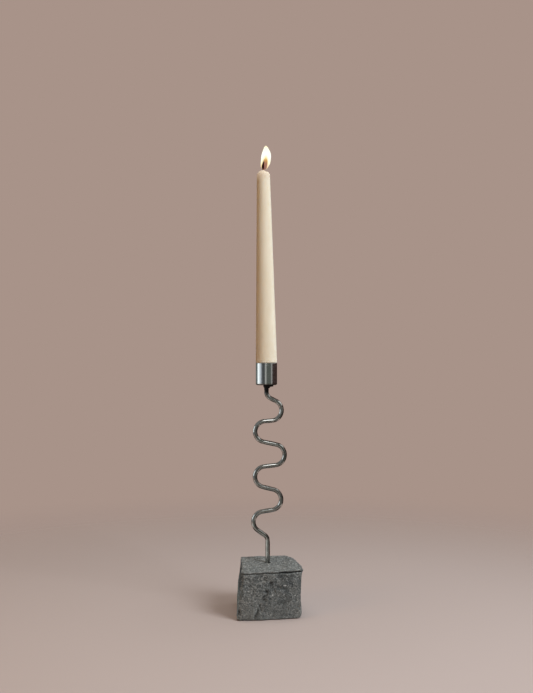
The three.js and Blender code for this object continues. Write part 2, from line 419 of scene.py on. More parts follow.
def stoneRelief(points, normals, edges):
    x, y, z = points.T
    low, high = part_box("stone_base")
    sleeveLow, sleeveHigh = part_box("resin_sleeve")
    rodX, rodY, _ = (sleeveLow + sleeveHigh) / 2
    boreRadius = (sleeveHigh.x - sleeveLow.x) / 2
    fromBore = np.hypot(x - rodX, y - rodY) - boreRadius
    onTop = dressedTop(points, normals)
    onFront = smoothStep(0.45, 0.8, -normals[:, 1])
    free = np.where(fromBore < 2 * stone["boreRim"][0], 0, smoothStep(*stone["boreRim"], fromBore))
    free *= np.where(normals[:, 2] < -0.8, 0, 1)  # the underside stays flat
    free *= 0.15 + 0.85 * smoothStep(low.z, low.z + 3.5 * mm, z)

    flat = points.tolist()
    relief = np.zeros(len(points))
    layers = (("swell", noiseOn), ("flake", chipsOn), ("crystal", chipsOn), ("grain", noiseOn))
    for seed, (layer, field) in enumerate(layers, 1):
        size, height = stone[layer]
        share = 1 - (1 - stone["topShare"]) * onTop * (layer != "grain")
        relief += height * share * field(flat, size, seed)
    size, depth = stone["pit"]
    pits = smoothStep(*stone["pitLevel"], noiseOn(flat, size, 5)) * smoothStep(2 * mm, 7 * mm, z)
    relief -= depth * pits * (1 - 0.5 * onTop)

    across, reach = splitLine(x, z)
    across = across + stone["splitStray"] * noiseOn(flat, 7 * mm, 9)
    across += stone["splitBow"] * bump1d(reach, 0.53, 0.3)
    beside = smoothStep(0, 3 * mm, across) * onFront
    relief *= 1 + (stone["roughSide"] - 1) * beside
    ragged = 0.6 + 0.9 * np.abs(noiseOn(flat, 4 * mm, 6))
    shown = smoothStep(-0.15, 0.05, reach) * smoothStep(1.15, 0.8, reach)
    broken = 0.25 + 0.75 * smoothStep(-0.25, 0.3, noiseOn(flat, 2.6 * mm, 10))
    broken = np.maximum(broken, smoothStep(0.4, 0.2, reach))  # whole only at its foot
    shown = shown * onFront * broken
    groove = stone["splitDepth"] * shown * bump1d(across, 0, stone["splitWidth"])
    relief -= groove + stone["splitStep"] * beside
    splitShade = shown * bump1d(across, 0, np.where(across < 0, *stone["splitShade"]))

    frontEdge = high.z - stone["topPitch"] - stone["topTilt"] * (0.5 - 0.5 * x / high.x)
    topEdge = frontEdge - stone["lipDrop"]
    lip = bump1d(z, topEdge + 0.5 * mm * noiseOn(flat, 9 * mm, 7), stone["lipHeight"])
    strong = 0.55 + 0.45 * smoothStep(-4 * mm, 12 * mm, x)
    lip *= smoothStep(0.2, 0.6, -normals[:, 1]) * strong
    relief -= stone["lipDepth"] * lip

    relief += swollen(points, *stone["corner"]) * (1 - onTop)

    knocks = np.zeros(len(points))
    facing = smoothStep(0.1, 0.4, -normals[:, 1])
    for *sizes, soot in stone["dents"]:
        dentX, dentZ, wide, tall, depth = np.array(sizes) * mm
        dent = facing * bump1d(x, dentX, wide) * bump1d(z, dentZ, tall) * ragged
        relief -= depth * dent
        knocks = np.maximum(knocks, soot * dent)
    quartz = np.zeros(len(points))
    for quartzX, quartzZ, wide, tall in np.array(stone["quartz"]) * mm:
        quartz += onFront * bump1d(x, quartzX, wide) * bump1d(z, quartzZ, tall)

    rounded = relaxed(points, edges, stone["wearRounds"])
    edge = np.clip(np.einsum("ij,ij->i", points - rounded, normals), 0, None)
    chipped = smoothStep(*stone["wearLevel"], noiseOn(flat, 5 * mm, 8))
    relief -= stone["edgeWear"] * edge * (0.1 + 1.7 * chipped) * smoothStep(0, 5 * mm, z)
    # painted shadow in the split line, under the lip of the top and in the dents
    crack = np.maximum.reduce([0.66 * splitShade, 0.9 * lip, knocks])
    torn = beside * smoothStep(*stone["tornEnd"], x)
    painted = {"torn": torn, "crack": crack, "quartz": quartz}
    moved = points + normals * (relief * free)[:, None]
    moved[:, 0] += swollen(points, *stone["overhang"])
    return moved, painted


def hewnStone():
    block = newObject("stoneBase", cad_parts["stone_base"].data.copy())
    voxels = block.modifiers.new("voxels", "REMESH")
    voxels.mode = "VOXEL"
    voxels.voxel_size = stone["voxel"]
    mesh = bpy.data.meshes.new_from_object(block.evaluated_get(bpy.context.evaluated_depsgraph_get()))
    block.modifiers.clear()
    block.data = mesh
    points, normals, edges = meshArrays(mesh)
    points, painted = stoneRelief(points, normals, edges)
    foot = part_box("stone_base")[0].z
    chipX, chipHalf, chipHeight = stone["footFill"]
    under = (normals[:, 2] < -0.3) & (points[:, 2] < foot + chipHeight)
    under &= abs(points[:, 0] - chipX) < chipHalf
    points[:, 2] = np.where(under, foot, np.maximum(points[:, 2], foot))
    mesh.vertices.foreach_set("co", points.ravel())
    mesh.shade_smooth()
    mesh.update()
    points, normals, edges = meshArrays(mesh)
    smooth = relaxed(points, edges, stone["hollowRounds"])
    depth = np.einsum("ij,ij->i", smooth - points, normals) / stone["hollowDepth"]
    painted["hollow"], painted["crest"] = depth, -depth
    painted["dressed"] = dressedTop(points, normals)
    # left-facing faces, which get painted shade
    painted["oldFace"] = smoothStep(0.45, 0.8, -normals[:, 0])
    for name, value in painted.items():
        mesh.attributes.new(name, "FLOAT", "POINT").data.foreach_set("value", np.clip(value, 0, 1))
    settle(block, stoneFinish(), "holder", ["stone_base"])
    print("stone hewn:", len(mesh.vertices), "points")


hewnStone()

# Felt pads under the stone

felt = inMm(
    edge=0.3,  # rounding of the cut edge
    fuzz=(0.6, 0.05),  # grain and height
) | dict(sides=48)


def feltFinish():
    look, shader, place = newFinish("darkFelt", Roughness=0.95, Sheen_Weight=0.5, Sheen_Roughness=0.6)
    fibres = mottle(stretched(place, (1, 1, 3)), 0.35 * mm, 5, 0.7)
    join(ramp(fibres, [(0.3, paint(34, 33, 33)), (0.7, paint(66, 64, 63))]), shader, "Base Color")
    roughen(fibres, 0.2 * mm, shader)
    return look


def feltPads():
    look = feltFinish()
    for side in ("front_left", "front_right", "back_left", "back_right"):
        low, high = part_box("felt_pad_" + side)
        radius, edge = (high.x - low.x) / 2, felt["edge"]
        profile = [(radius * i / 6, low.z) for i in range(1, 6)]
        profile += arc(radius - edge, low.z + edge, edge, -90, 0, 4)
        profile += arc(radius - edge, high.z - edge, edge, 0, 90, 4)
        profile += [(radius * i / 6, high.z) for i in range(5, 0, -1)]
        rings = turned(profile, felt["sides"])
        size, height = felt["fuzz"]
        rings[:, :, :2] *= 1 + height / radius * ringNoise(rings, size, 11)[:, :, None]
        rings[:, :, :2] += ((low.x + high.x) / 2, (low.y + high.y) / 2)
        name = "feltPad" + side.title().replace("_", "")
        pad = addPiece(name, loft(rings), look, "holder", ["felt_pad_" + side])
    print("felt pads cut")


feltPads()

# Resin that sets the rod in its hole

resin = inMm(
    gap=0.03,
    meniscus=0.45,  # how far it climbs the rod and the wall of the hole
    recess=0.5,  # below the mouth of the hole
) | dict(sides=64)


def resinFinish():
    look, shader, place = newFinish("darkResin", Coat_Weight=0.4, Coat_Roughness=0.15)
    tints = [(0.3, paint(26, 24, 22)), (0.7, paint(44, 40, 36))]
    crusted(shader, mottle(place, 1.5 * mm), tints, (0.25, 0.45), 0.08 * mm)
    return look


def resinSleeve():
    low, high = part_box("resin_sleeve")
    middle = (low + high) / 2
    inner, outer = halfDepth("wavy_stem") + resin["gap"], (high.x - low.x) / 2 + resin["gap"]
    profile = along((inner, low.z), (outer, low.z), 2) + along((outer, low.z), (outer, high.z), 8)
    for i in range(9):  # hollow top
        across = 1 - 2 * i / 8
        sag = resin["meniscus"] * (1 - across ** 2)
        profile.append(((inner + outer) / 2 + across * (outer - inner) / 2, high.z - sag))
    profile += along((inner, high.z), (inner, low.z), 8)[1:]
    rings = turned(profile, resin["sides"])
    rings[:, :, :2] += (middle.x, middle.y)
    addPiece("resinSleeve", loft(rings, loop=True), resinFinish(), "holder", ["resin_sleeve"])
    print("resin poured")


# Wavy steel stem

stem = inMm(
    step=0.75,
    footStraight=23.1,  # out of the stone before the first bend
    bendRadius=11.3,
    setBendRadius=8,  # first and last bend
    chamfer=0.5,
    gripDepth=0.22,  # marks of the bending pegs
    gripLength=1.7,
    wobble=(6, 0.03),  # grain and height of its unevenness
    neckBurn=(-7.5, 0.5),  # blackened by weld heat scale, and painted shade under the cup; heights from the weld's foot
    footStain=(3, 12),  # painted dark reflection of the stone's top, fading up the rod
    stainSide=(-0.3, 1.2),  # and most on its right
    holdHeight=132,  # dulled where a hand takes it
    holdReach=(4, 15),
) | dict(
    sides=32,
    runs=[  # slope in degrees and length of each run, upward
        (33.5, 8 * mm), (9, 11 * mm), (13, 11 * mm), (6.5, 12 * mm),
        (11.5, 14 * mm), (4, 7.5 * mm), (25, 5.7 * mm),
    ],
    oval=0.03,  # flattening of the rod where it is bent
    holdRough=(0.26, 0.03),  # roughness there and elsewhere
)


def boreMouth():  # height of the stone where the rod goes in
    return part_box("resin_sleeve")[1].z + resin["recess"]


def unit(angle):
    return np.array([math.cos(angle), math.sin(angle)])


def stemLine():  # rows of x, z, heading and bend, upward
    low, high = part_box("wavy_stem")
    sleeveLow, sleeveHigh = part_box("resin_sleeve")
    pen = np.array([(sleeveLow.x + sleeveHigh.x) / 2, low.z])
    heading, turn = math.pi / 2, 1
    rows = [(pen[0], pen[1], heading, 0)]

    def straight(length):
        nonlocal pen
        count = max(2, round(length / stem["step"]))
        run = unit(heading) * length
        rows.extend((*(pen + run * i / count), heading, 0) for i in range(1, count + 1))
        pen = pen + run

    def bend(target, radius):
        nonlocal pen, heading
        side = turn * math.pi / 2
        centre = pen + radius * unit(heading + side)
        count = max(4, round(abs(target - heading) * radius / stem["step"]))
        for i in range(1, count + 1):
            now = heading + (target - heading) * i / count
            place = centre + radius * unit(now - side)
            rows.append((*place, now, turn))
        pen, heading = place, target

    straight(boreMouth() + stem["footStraight"] - low.z)
    for index, (slope, length) in enumerate(stem["runs"]):
        tilt = math.radians(slope)
        bend(math.pi - tilt if turn > 0 else tilt, stem["bendRadius"] if index else stem["setBendRadius"])
        straight(length)
        turn = -turn
    bend(math.pi / 2, stem["setBendRadius"])
    straight(high.z - pen[1])
    return np.array(rows)


def steelFinish():
    look, shader, place = newFinish("bentSteel", Metallic=1)
    wrap = addNode(look.node_tree, "TexCoord").outputs["UV"]
    drawn = mottle(stretched(wrap, (26, 60, 1)), 1.0, 3)
    scale = mottle(place, 5.5 * mm, 5, 0.6)
    steel = ramp(scale, [
        (0.32, paint(176, 176, 172)), (0.5, paint(200, 200, 196)), (0.72, paint(222, 221, 217)),
    ])
    steel = mixed(spread(drawn, 0.35, 0.65, 0, 0.2), steel, paint(158, 158, 154))
    height = axes(place)["Z"]
    level = plus(height, times(scale, 6 * mm))
    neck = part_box("weld_bead")[0].z
    burnt = spread(level, *(neck + z for z in stem["neckBurn"]), 0, 0.97)
    stained = spread(level, *(boreMouth() + z for z in stem["footStain"]), 0.8, 0)
    rodX = sum(corner.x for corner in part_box("resin_sleeve")) / 2
    side = spread(axes(place)["X"], *(rodX + x for x in stem["stainSide"]), 0.2, 1)
    # painted dark reflection of the stone's top on the rod's foot, most on its right
    steel = mixed(times(stained, side), steel, paint(58, 57, 55))
    # weld heat scale, and painted shade under the cup
    steel = mixed(burnt, steel, paint(34, 30, 28))
    join(steel, shader, "Base Color")
    fromHold = calc("ABSOLUTE", minus(height, stem["holdHeight"]))
    held = spread(fromHold, *stem["holdReach"], *stem["holdRough"])
    worn = plus(times(scale, 0.08), times(drawn, 0.06))
    rough = plus(times(burnt, 0.3), plus(worn, held))
    join(rough, shader, "Roughness")
    roughen(plus(drawn, scale), 0.014 * mm, shader)
    return look


def wavyStem():
    rows = stemLine()
    radius, rodY = halfDepth("wavy_stem"), sum(box.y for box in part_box("wavy_stem")) / 2
    steps = np.linalg.norm(np.diff(rows[:, :2], axis=0), axis=1)
    reach = np.concatenate([[0], np.cumsum(steps)])
    sides = stem["sides"]
    angles = ringAngles(sides)
    inPlane, outPlane = np.cos(angles), np.sin(angles)
    bent = np.convolve(rows[:, 3], np.ones(7) / 7, "same")
    grips = [i for i in range(1, len(rows)) if rows[i, 3] != rows[i - 1, 3]]
    rings = []
    for i, (x, z, heading, _) in enumerate(rows):
        across = np.array([-math.sin(heading), 0, math.cos(heading)])  # to the left
        oval = stem["oval"] * abs(bent[i])
        reachOut = np.full(sides, radius)
        for grip in grips:  # a peg leaves a small flat
            near = bump1d(reach[i], reach[grip], stem["gripLength"])
            outer = -(rows[grip, 3] or rows[grip - 1, 3])
            reachOut -= stem["gripDepth"] * near * np.clip(inPlane * outer, 0, 1) ** 4
        flat = np.outer(inPlane * reachOut * (1 - oval), across)
        rings.append(flat + np.outer(outPlane * reachOut * (1 + oval), (0, 1, 0)) + (x, rodY, z))
    rings = np.array(rings)
    size, height = stem["wobble"]
    wobble = ringNoise(rings, size, 21)
    middles = rings.mean(axis=1, keepdims=True)
    rings = middles + (rings - middles) * (1 + height / radius * wobble)[:, :, None]
    chamfer = 1 - stem["chamfer"] / radius
    ends = middles + (rings - middles) * chamfer
    rings[0, :, 2] += stem["chamfer"]
    rings[-1, :, 2] -= stem["chamfer"]
    rings = np.concatenate([ends[:1], rings, ends[-1:]])
    made = addPiece("wavyStem", loft(rings), steelFinish(), "holder", ["wavy_stem"])
    reach = np.concatenate([[0], reach, reach[-1:]])
    wrapStem(made.data, reach, sides)
    print("stem bent:", round(float(reach[-1]) / mm), "mm of rod")


def wrapStem(mesh, reach, sides):  # UV: U round the rod, V along it in metres
    layer = mesh.uv_layers.new(name="wrap")
    count = len(reach) * sides
    for face in mesh.polygons:
        around = [v % sides for v in face.vertices if v < count]
        seam = max(around) == sides - 1 and min(around) == 0
        for k, v in zip(face.loop_indices, face.vertices):
            turnShare = (v % sides) / sides if v < count else 0.5
            if seam and v < count and v % sides == 0:
                turnShare = 1.0
            row = v // sides if v < count else (0 if v == count else len(reach) - 1)
            layer.data[k].uv = (turnShare, reach[row])


resinSleeve()
wavyStem()

# Weld under the cup

weld = inMm(
    gap=0.02,
    spread=2.9,  # reach of the bead beyond the rod
    toe=0.6,
    edge=1.8,  # thickness at its outer edge, and the rounding there
    round=0.8,
    lump=(2.0, 0.26),  # grain and height
    ripple=0.14,  # beads laid round the rod
) | dict(
    sides=72,
    lean=0.7,  # more of it to the right than to the left
    ripples=11,
)


def weldFinish():
    look, shader, place = newFinish("burntWeld", Metallic=0.55)
    tints = [(0.3, paint(17, 16, 16)), (0.55, paint(36, 31, 28)), (0.75, paint(72, 63, 56))]
    crusted(shader, mottle(place, 1.1 * mm, 5, 0.65), tints, (0.75, 0.42), 0.15 * mm)
    return look


def weldBead():
    low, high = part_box("weld_bead")
    cupLow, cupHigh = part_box("candle_cup")
    axis = (cupLow + cupHigh) / 2
    inner, top = halfDepth("wavy_stem") + weld["gap"], high.z
    toe, edge, soft = weld["toe"], weld["edge"], weld["round"]
    outer = inner + weld["spread"]
    profile = along((inner, top), (inner, low.z), 6)
    for i in range(13):  # hollow, out to its edge
        t = i / 13
        r = (1 - t * t) * (inner + toe) + t * t * (outer - soft)
        profile.append((r, (1 - t) ** 2 * low.z + (2 * t - t * t) * (top - edge)))
    profile += arc(outer - soft, top - edge + soft, soft, -90, 0, 6)
    profile += along((outer, top - edge + soft + 0.2 * mm), (outer, top), 4)
    profile += along((outer, top), (inner, top), 5)
    rings = turned(profile, weld["sides"])
    angles = ringAngles(weld["sides"])
    size, height = weld["lump"]
    lumps = height * ringNoise(rings, size, 31)
    outside = smoothStep(inner + 0.1 * mm, inner + 1.0 * mm, np.array([r for r, _ in profile]))[:, None]
    ripple = np.abs(np.sin(weld["ripples"] * angles / 2 + 0.4))[None, :]
    swell = outside * (lumps + weld["ripple"] * (ripple - 0.6))
    radii = np.linalg.norm(rings[:, :, :2], axis=2)
    leaning = weld["lean"] * np.cos(angles)[None, :] * (radii - inner)
    rings[:, :, :2] *= (1 + (swell + leaning) / radii)[:, :, None]
    rings[:, :, 2] = np.minimum(rings[:, :, 2] - 0.5 * np.maximum(swell, 0), top)
    rings[:, :, :2] += (axis.x, axis.y)
    addPiece("weldBead", loft(rings, loop=True), weldFinish(), "holder", ["weld_bead"])
    print("weld laid")


weldBead()

# Steel cup

cup = inMm(
    gap=0.03,  # round the rod
    wall=0.8,
    floor=1.2,
    foot=1.6,  # rounding of the drawn foot
    rim=0.22,
    line=2.6,  # turned line below the rim
    lineDepth=0.012,
    lineWidth=0.5,
    scaleHeight=1.3,  # heat scale that climbs from the weld, and a painted dark reflection round the foot
) | dict(sides=144)


def cupFinish():
    look, shader, place = newFinish("turnedSteel", Metallic=1)
    rings = mottle(stretched(place, (0.06, 0.06, 1)), 0.3 * mm, 3, 0.6)
    smears = mottle(stretched(place, (1, 1, 0.6)), 7 * mm, 3, 0.6)
    steel = ramp(rings, [(0.3, paint(196, 199, 199)), (0.7, paint(212, 214, 213))])
    height = axes(place)["Z"]
    level = plus(height, times(smears, -1.2 * mm))
    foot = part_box("candle_cup")[0].z - 0.6 * mm
    scaled = spread(level, foot + 0.2 * mm, foot + cup["scaleHeight"], 0.95, 0)
    tinted = spread(level, foot + 0.5 * cup["scaleHeight"], foot + 2.2 * cup["scaleHeight"], 0.45, 0)
    steel = mixed(tinted, steel, paint(150, 128, 104))
    # heat scale, and a painted dark reflection round the foot
    steel = mixed(scaled, steel, paint(32, 29, 28))
    join(steel, shader, "Base Color")
    polish = plus(times(smears, 0.12), times(rings, 0.06))
    dull = plus(times(scaled, 0.4), 0.07)
    join(plus(polish, dull), shader, "Roughness")
    roughen(rings, 0.012 * mm, shader, 0.6)
    return look


def candleCup():
    low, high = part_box("candle_cup")
    middle = (low + high) / 2
    outer, wall, rim = (high.x - low.x) / 2, cup["wall"], cup["rim"]
    hole = halfDepth("wavy_stem") + cup["gap"]
    line, half, cut = high.z - cup["line"], cup["lineWidth"] / 2, cup["lineDepth"]
    foot, floor = cup["foot"], low.z + cup["floor"]
    profile = along((hole, low.z), (outer - foot, low.z), 6)
    profile += arc(outer - foot, low.z + foot, foot, -90, 0, 10)
    profile += along((outer, low.z + foot + 0.3 * mm), (outer, line - 1.6 * half), 10)
    profile += [(outer, line - half), (outer - 0.8 * cut, line - 0.4 * half)]
    profile += [(outer - cut, line), (outer - 0.8 * cut, line + 0.4 * half)]
    profile += along((outer, line + half), (outer, high.z - rim - 0.2 * mm), 3)
    profile += arc(outer - rim, high.z - rim, rim, 0, 90, 5)
    profile += arc(outer - wall + rim, high.z - rim, rim, 90, 180, 5)
    profile += along((outer - wall, high.z - rim - 0.3 * mm), (outer - wall, floor + wall), 10)
    profile += arc(outer - 2 * wall, floor + wall, wall, 0, -90, 6)
    profile += along((outer - 2 * wall - 0.2 * mm, floor), (hole, floor), 6)
    profile += along((hole, floor), (hole, low.z), 2)
    rings = turned(profile, cup["sides"])
    rings[:, :, :2] += (middle.x, middle.y)
    shape = loft(rings, loop=True)
    addPiece("candleCup", shape, cupFinish(), "holder", ["candle_cup"], crease=50)
    print("cup turned")


candleCup()

# Taper candle

wax = inMm(
    length=207.4,  # from the cup's rim to its top
    tipRadius=7.1,
    dome=5.5,
    seatGap=0.1,
    shoulderInset=0.05,
    shoulderRound=0.6,
    straight=3,  # above the shoulder, before the taper
    tailLength=14,
    tailRound=0.5,
    tailClearance=0.5,
    tailDraft=0.5,
    lip=0.15,  # collar pressed up by the rim
    lipHeight=1.1,
    dips=0.10,  # slow swells left by dipping
    melt=0.5,  # unevenness of the melted top
    fall=0.25,  # of the top to the right
    glowDepth=(13, 4),  # painted glow of the flame's light in the wax, fading in
) | dict(
    sides=96,
    lean=0.92,  # degrees, to the left
    ridge=(0.75, 0.3 * mm),  # right of the wick: share of the radius, height
    trough=(0.36, 0.5 * mm),
    glowTint=(1.0, 0.74, 0.54, 1),
    glow=0.27,
    clear=0.36,  # how much darker the hot clear wax is
)


def candlePlace():  # from the candle's own axis to the frame
    low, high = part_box("candle_cup")
    rim = Vector(((low.x + high.x) / 2, (low.y + high.y) / 2, high.z))
    return Matrix.Translation(rim) @ Matrix.Rotation(-math.radians(wax["lean"]), 4, "Y")


def placed(rings, matrix):
    matrix = np.array(matrix)
    return rings @ matrix[:3, :3].T + matrix[:3, 3]


def waxFinish():
    look, shader, place = newFinish(
        "ivoryWax", Subsurface_Weight=1, Subsurface_Radius=(1, 1, 1), Subsurface_Scale=3 * mm,
        Specular_IOR_Level=0.22, Emission_Color=wax["glowTint"])
    cloud = mottle(stretched(place, (1, 1, 0.25)), 9 * mm, 4)
    bloom = mottle(place, 1.3 * mm, 4, 0.6)
    ivory = ramp(cloud, [(0.3, paint(227, 215, 192)), (0.7, paint(234, 224, 203))])
    ivory = mixed(spread(bloom, 0.52, 0.75, 0, 0.25), ivory, paint(238, 230, 213))
    height = axes(place)["Z"]
    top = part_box("candle_wax")[1].z
    low, high = (top - depth for depth in wax["glowDepth"])
    hot = spread(height, low, high, 0, 1)
    ivory = mixed(times(hot, wax["clear"]), ivory, (0, 0, 0, 1))
    join(ivory, shader, "Base Color")
    # painted glow of the flame's light near the top
    join(times(hot, wax["glow"]), shader, "Emission Strength")
    join(spread(bloom, 0.3, 0.7, 0.42, 0.58), shader, "Roughness")
    roughen(bloom, 0.04 * mm, shader)
    return look


def candleWax():
    cupLow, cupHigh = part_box("candle_cup")
    cupRadius = (cupHigh.x - cupLow.x) / 2
    hole = halfDepth("wick") + 0.05 * mm
    shoulder = cupRadius - wax["shoulderInset"]
    tail = cupRadius - cup["wall"] - wax["tailClearance"]
    seat = wax["seatGap"] + math.sin(math.radians(wax["lean"])) * shoulder
    tip, top, dome = wax["tipRadius"], wax["length"], wax["dome"]
    bottom, under = tail - wax["tailDraft"], -wax["tailLength"]
    tailRound, soft = wax["tailRound"], wax["shoulderRound"]
    profile = along((hole, under), (bottom - tailRound, under), 5)
    profile += arc(bottom - tailRound, under + tailRound, tailRound, -90, 0, 4)
    profile += along((bottom, under + 0.8 * mm), (tail, seat - 0.05 * mm), 8)
    profile += along((tail, seat), (shoulder - soft, seat), 2)
    profile += arc(shoulder - soft, seat + soft, soft, -90, 0, 4)
    foot = seat + soft
    straight = wax["straight"]
    profile += along((shoulder, foot + 0.15 * mm), (shoulder, foot + straight), 8)
    taper = (tip - shoulder) / (top - dome - foot)
    profile += along((shoulder + taper * straight, foot + straight), (tip, top - dome), 90)
    for i in range(15):  # melted dome, up to the wick
        t = i / 14
        a, b, c, d = (1 - t) ** 3, 3 * t * (1 - t) ** 2, 3 * t * t * (1 - t), t ** 3
        r = a * tip + b * 0.97 * tip + c * 0.62 * tip + d * hole
        profile.append((r, (a + b) * (top - dome) + b * 0.5 * dome + c * (top - 0.12 * dome) + d * top))
    profile += along((hole, top - 0.3 * mm), (hole, under), 12)
    radii, heights = np.array(profile).T
    rings = turned(profile, wax["sides"])
    before = rings.copy()
    outside = (radii > hole * 1.5)[:, None]
    lip = wax["lip"] * bump1d(heights, foot + 0.35 * wax["lipHeight"], 0.5 * wax["lipHeight"])[:, None]
    dips = wax["dips"] * ringNoise(rings * (1, 1, 0.35), 8 * mm, 41)
    lip = lip * (0.8 + 0.5 * ringNoise(before, 5 * mm, 42))
    body = (heights > seat + 0.1 * mm)[:, None] * outside
    swell = body * (lip + dips)
    rings[:, :, :2] *= (1 + swell / radii[:, None])[:, :, None]
    melted = smoothStep(top - dome - 1 * mm, top - 0.4 * dome, heights) * smoothStep(hole, 3 * hole, radii)
    drip = wax["melt"] * ringNoise(before, 4.5 * mm, 43)
    across = rings[:, :, 0] / tip
    (high, rise), (deep, sink) = wax["ridge"], wax["trough"]
    ridge = rise * bump1d(across, high, 0.2) - sink * bump1d(across, deep, 0.2)
    ridge -= wax["fall"] * smoothStep(-0.2, 0.9, across)
    rings[:, :, 2] += melted[:, None] * (drip + ridge)
    shape = loft(placed(rings, candlePlace()), loop=True)
    addPiece("candleWax", shape, waxFinish(), "candle", ["candle_wax"], crease=60)
    print("candle dipped")


candleWax()

# Wick

wick = inMm(
    standOut=9.3,
    curl=0.8,
    lay=4.2,  # one twist of the strands
    charMiddle=4.8,
    charLean=0.35,  # to the left, below its curl
) | dict(
    sides=30,
    strands=3,
    groove=0.12,
    charTaper=0.6,  # width left at the burnt end
    charSwell=0.3,  # crust on its middle
)


def wickFinish():
    look, shader, place = newFinish("charredWick", Roughness=0.95, Specular_IOR_Level=0.05)
    height = axes(place)["Z"]
    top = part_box("candle_wax")[1].z
    crust = mottle(place, 0.7 * mm, 4)
    level = plus(height, times(crust, 1.5 * mm))
    cotton = spread(level, top + 1 * mm, top + 4.6 * mm, 0, 1)
    tints = [(0.0, paint(178, 140, 108)), (0.25, paint(104, 60, 44)), (0.55, paint(44, 12, 8))]
    join(ramp(cotton, tints), shader, "Base Color")
    roughen(crust, 0.2 * mm, shader)
    return look


def candleWick():
    radius, sides = halfDepth("wick"), wick["sides"]
    foot, top = -wax["tailLength"], wax["length"]
    straightTop, tipTop = top + 0.4 * wick["standOut"], top + wick["standOut"]
    heights = np.concatenate([np.linspace(foot, top - 4 * mm, 60), np.linspace(top - 3.6 * mm, tipTop, 56)])
    angles = ringAngles(sides)
    rings = []
    for z in heights:
        curled = max(0.0, (z - straightTop) / (tipTop - straightTop))
        narrow = 1 - (1 - wick["charTaper"]) * smoothStep(top + wick["charMiddle"], tipTop, z)
        narrow *= 1 + wick["charSwell"] * bump1d(z, top + wick["charMiddle"], 2.6 * mm)
        twist = 2 * math.pi * z / wick["lay"]
        strand = 1 - wick["groove"] * np.abs(np.sin(wick["strands"] * (angles - twist) / 2))
        crumbs = [noise.noise(Vector((math.cos(a), math.sin(a), z / mm))) for a in angles]
        frayed = 1 + 0.12 * smoothStep(top, tipTop, z) * np.array(crumbs)
        reach = radius * narrow * strand * frayed
        lean = wick["charLean"] * bump1d(z, top + wick["charMiddle"], 3 * mm)
        x = reach * np.cos(angles) + wick["curl"] * curled ** 2 - lean
        rings.append(np.column_stack([x, reach * np.sin(angles), np.full(sides, z)]))
    rings = np.array(rings)
    crown = rings[-1:]
    middle = crown.mean(axis=1, keepdims=True)
    crown = middle + (crown - middle) * 0.45 + (0.1 * mm, 0, 0.35 * mm)
    rings = placed(np.concatenate([rings, crown]), candlePlace())
    addPiece("candleWick", loft(rings), wickFinish(), "candle", ["wick"], crease=70)
    print("wick twisted")


candleWick()

# Flame

flame = inMm(
    coreBehind=1.5,  # the wick
    clearMiddle=(0.3, 5.0),  # clear part: shift and height of its middle
    clearSize=(3.05, 9.0),
) | dict(
    sides=48,
    rows=44,
    mantle=[  # height over the wax, shift to the right, half width, in mm
        (0.2, 1.2, 1.0), (2.0, 1.0, 2.9), (3.7, 1.2, 3.8), (7.5, 2.2, 5.0), (11.5, 2.7, 5.2),
        (15.5, 3.0, 5.2), (19.5, 3.2, 4.4), (23.0, 3.0, 2.9), (25.2, 2.8, 1.8), (26.6, 2.7, 0.5),
    ],
    core=[  # dark zone beside the wick, likewise
        (1.2, 0.9, 0.9), (3.2, 1.6, 1.9), (5.2, 2.1, 2.1), (7.5, 2.5, 2.2), (9.6, 2.65, 2.0),
        (11.5, 2.65, 1.7), (13.4, 2.6, 0.9), (14.8, 2.7, 0.2),
    ],
    mantleDepth=0.9,  # front to back, against the width
    coreDepth=0.35,
    clearLean=0.165,
)


def flameFoot():
    return candlePlace() @ Vector((0, 0, wax["length"]))


def smoothCurve(knots, values, wanted):  # cubic through the knots
    slopes = np.gradient(values, knots)
    index = np.clip(np.searchsorted(knots, wanted) - 1, 0, len(knots) - 2)
    gap = knots[index + 1] - knots[index]
    t = (wanted - knots[index]) / gap
    a, b = 2 * t ** 3 - 3 * t ** 2 + 1, t ** 3 - 2 * t ** 2 + t
    c, d = -2 * t ** 3 + 3 * t ** 2, t ** 3 - t ** 2
    return a * values[index] + b * gap * slopes[index] + c * values[index + 1] + d * gap * slopes[index + 1]


def flameRings(outline, depth, behind=0.0):
    outline = np.array(outline) * mm
    heights = np.linspace(outline[0, 0], outline[-1, 0], flame["rows"])
    shifts = smoothCurve(outline[:, 0], outline[:, 1], heights)
    widths = np.maximum(smoothCurve(outline[:, 0], outline[:, 2], heights), 0.1 * mm)
    angles = ringAngles(flame["sides"])
    foot = flameFoot()
    rings = []
    for height, shift, width in zip(heights, shifts, widths):
        x = foot.x + shift + width * np.cos(angles)
        y = foot.y + behind + depth * width * np.sin(angles)
        rings.append(np.column_stack([x, y, np.full(len(angles), foot.z + height)]))
    return np.array(rings)


def glow(name, strength):  # a finish that only shines
    look, shader, place = newFinish(
        name, Base_Color=(0, 0, 0, 1), Roughness=1, Specular_IOR_Level=0, Emission_Strength=strength)
    foot = flameFoot()
    parts = axes(place)
    across = minus(parts["X"], foot.x)
    height = minus(parts["Z"], foot.z)
    rise = over(height, flame["mantle"][-1][0] * mm)
    return look, shader, across, height, rise


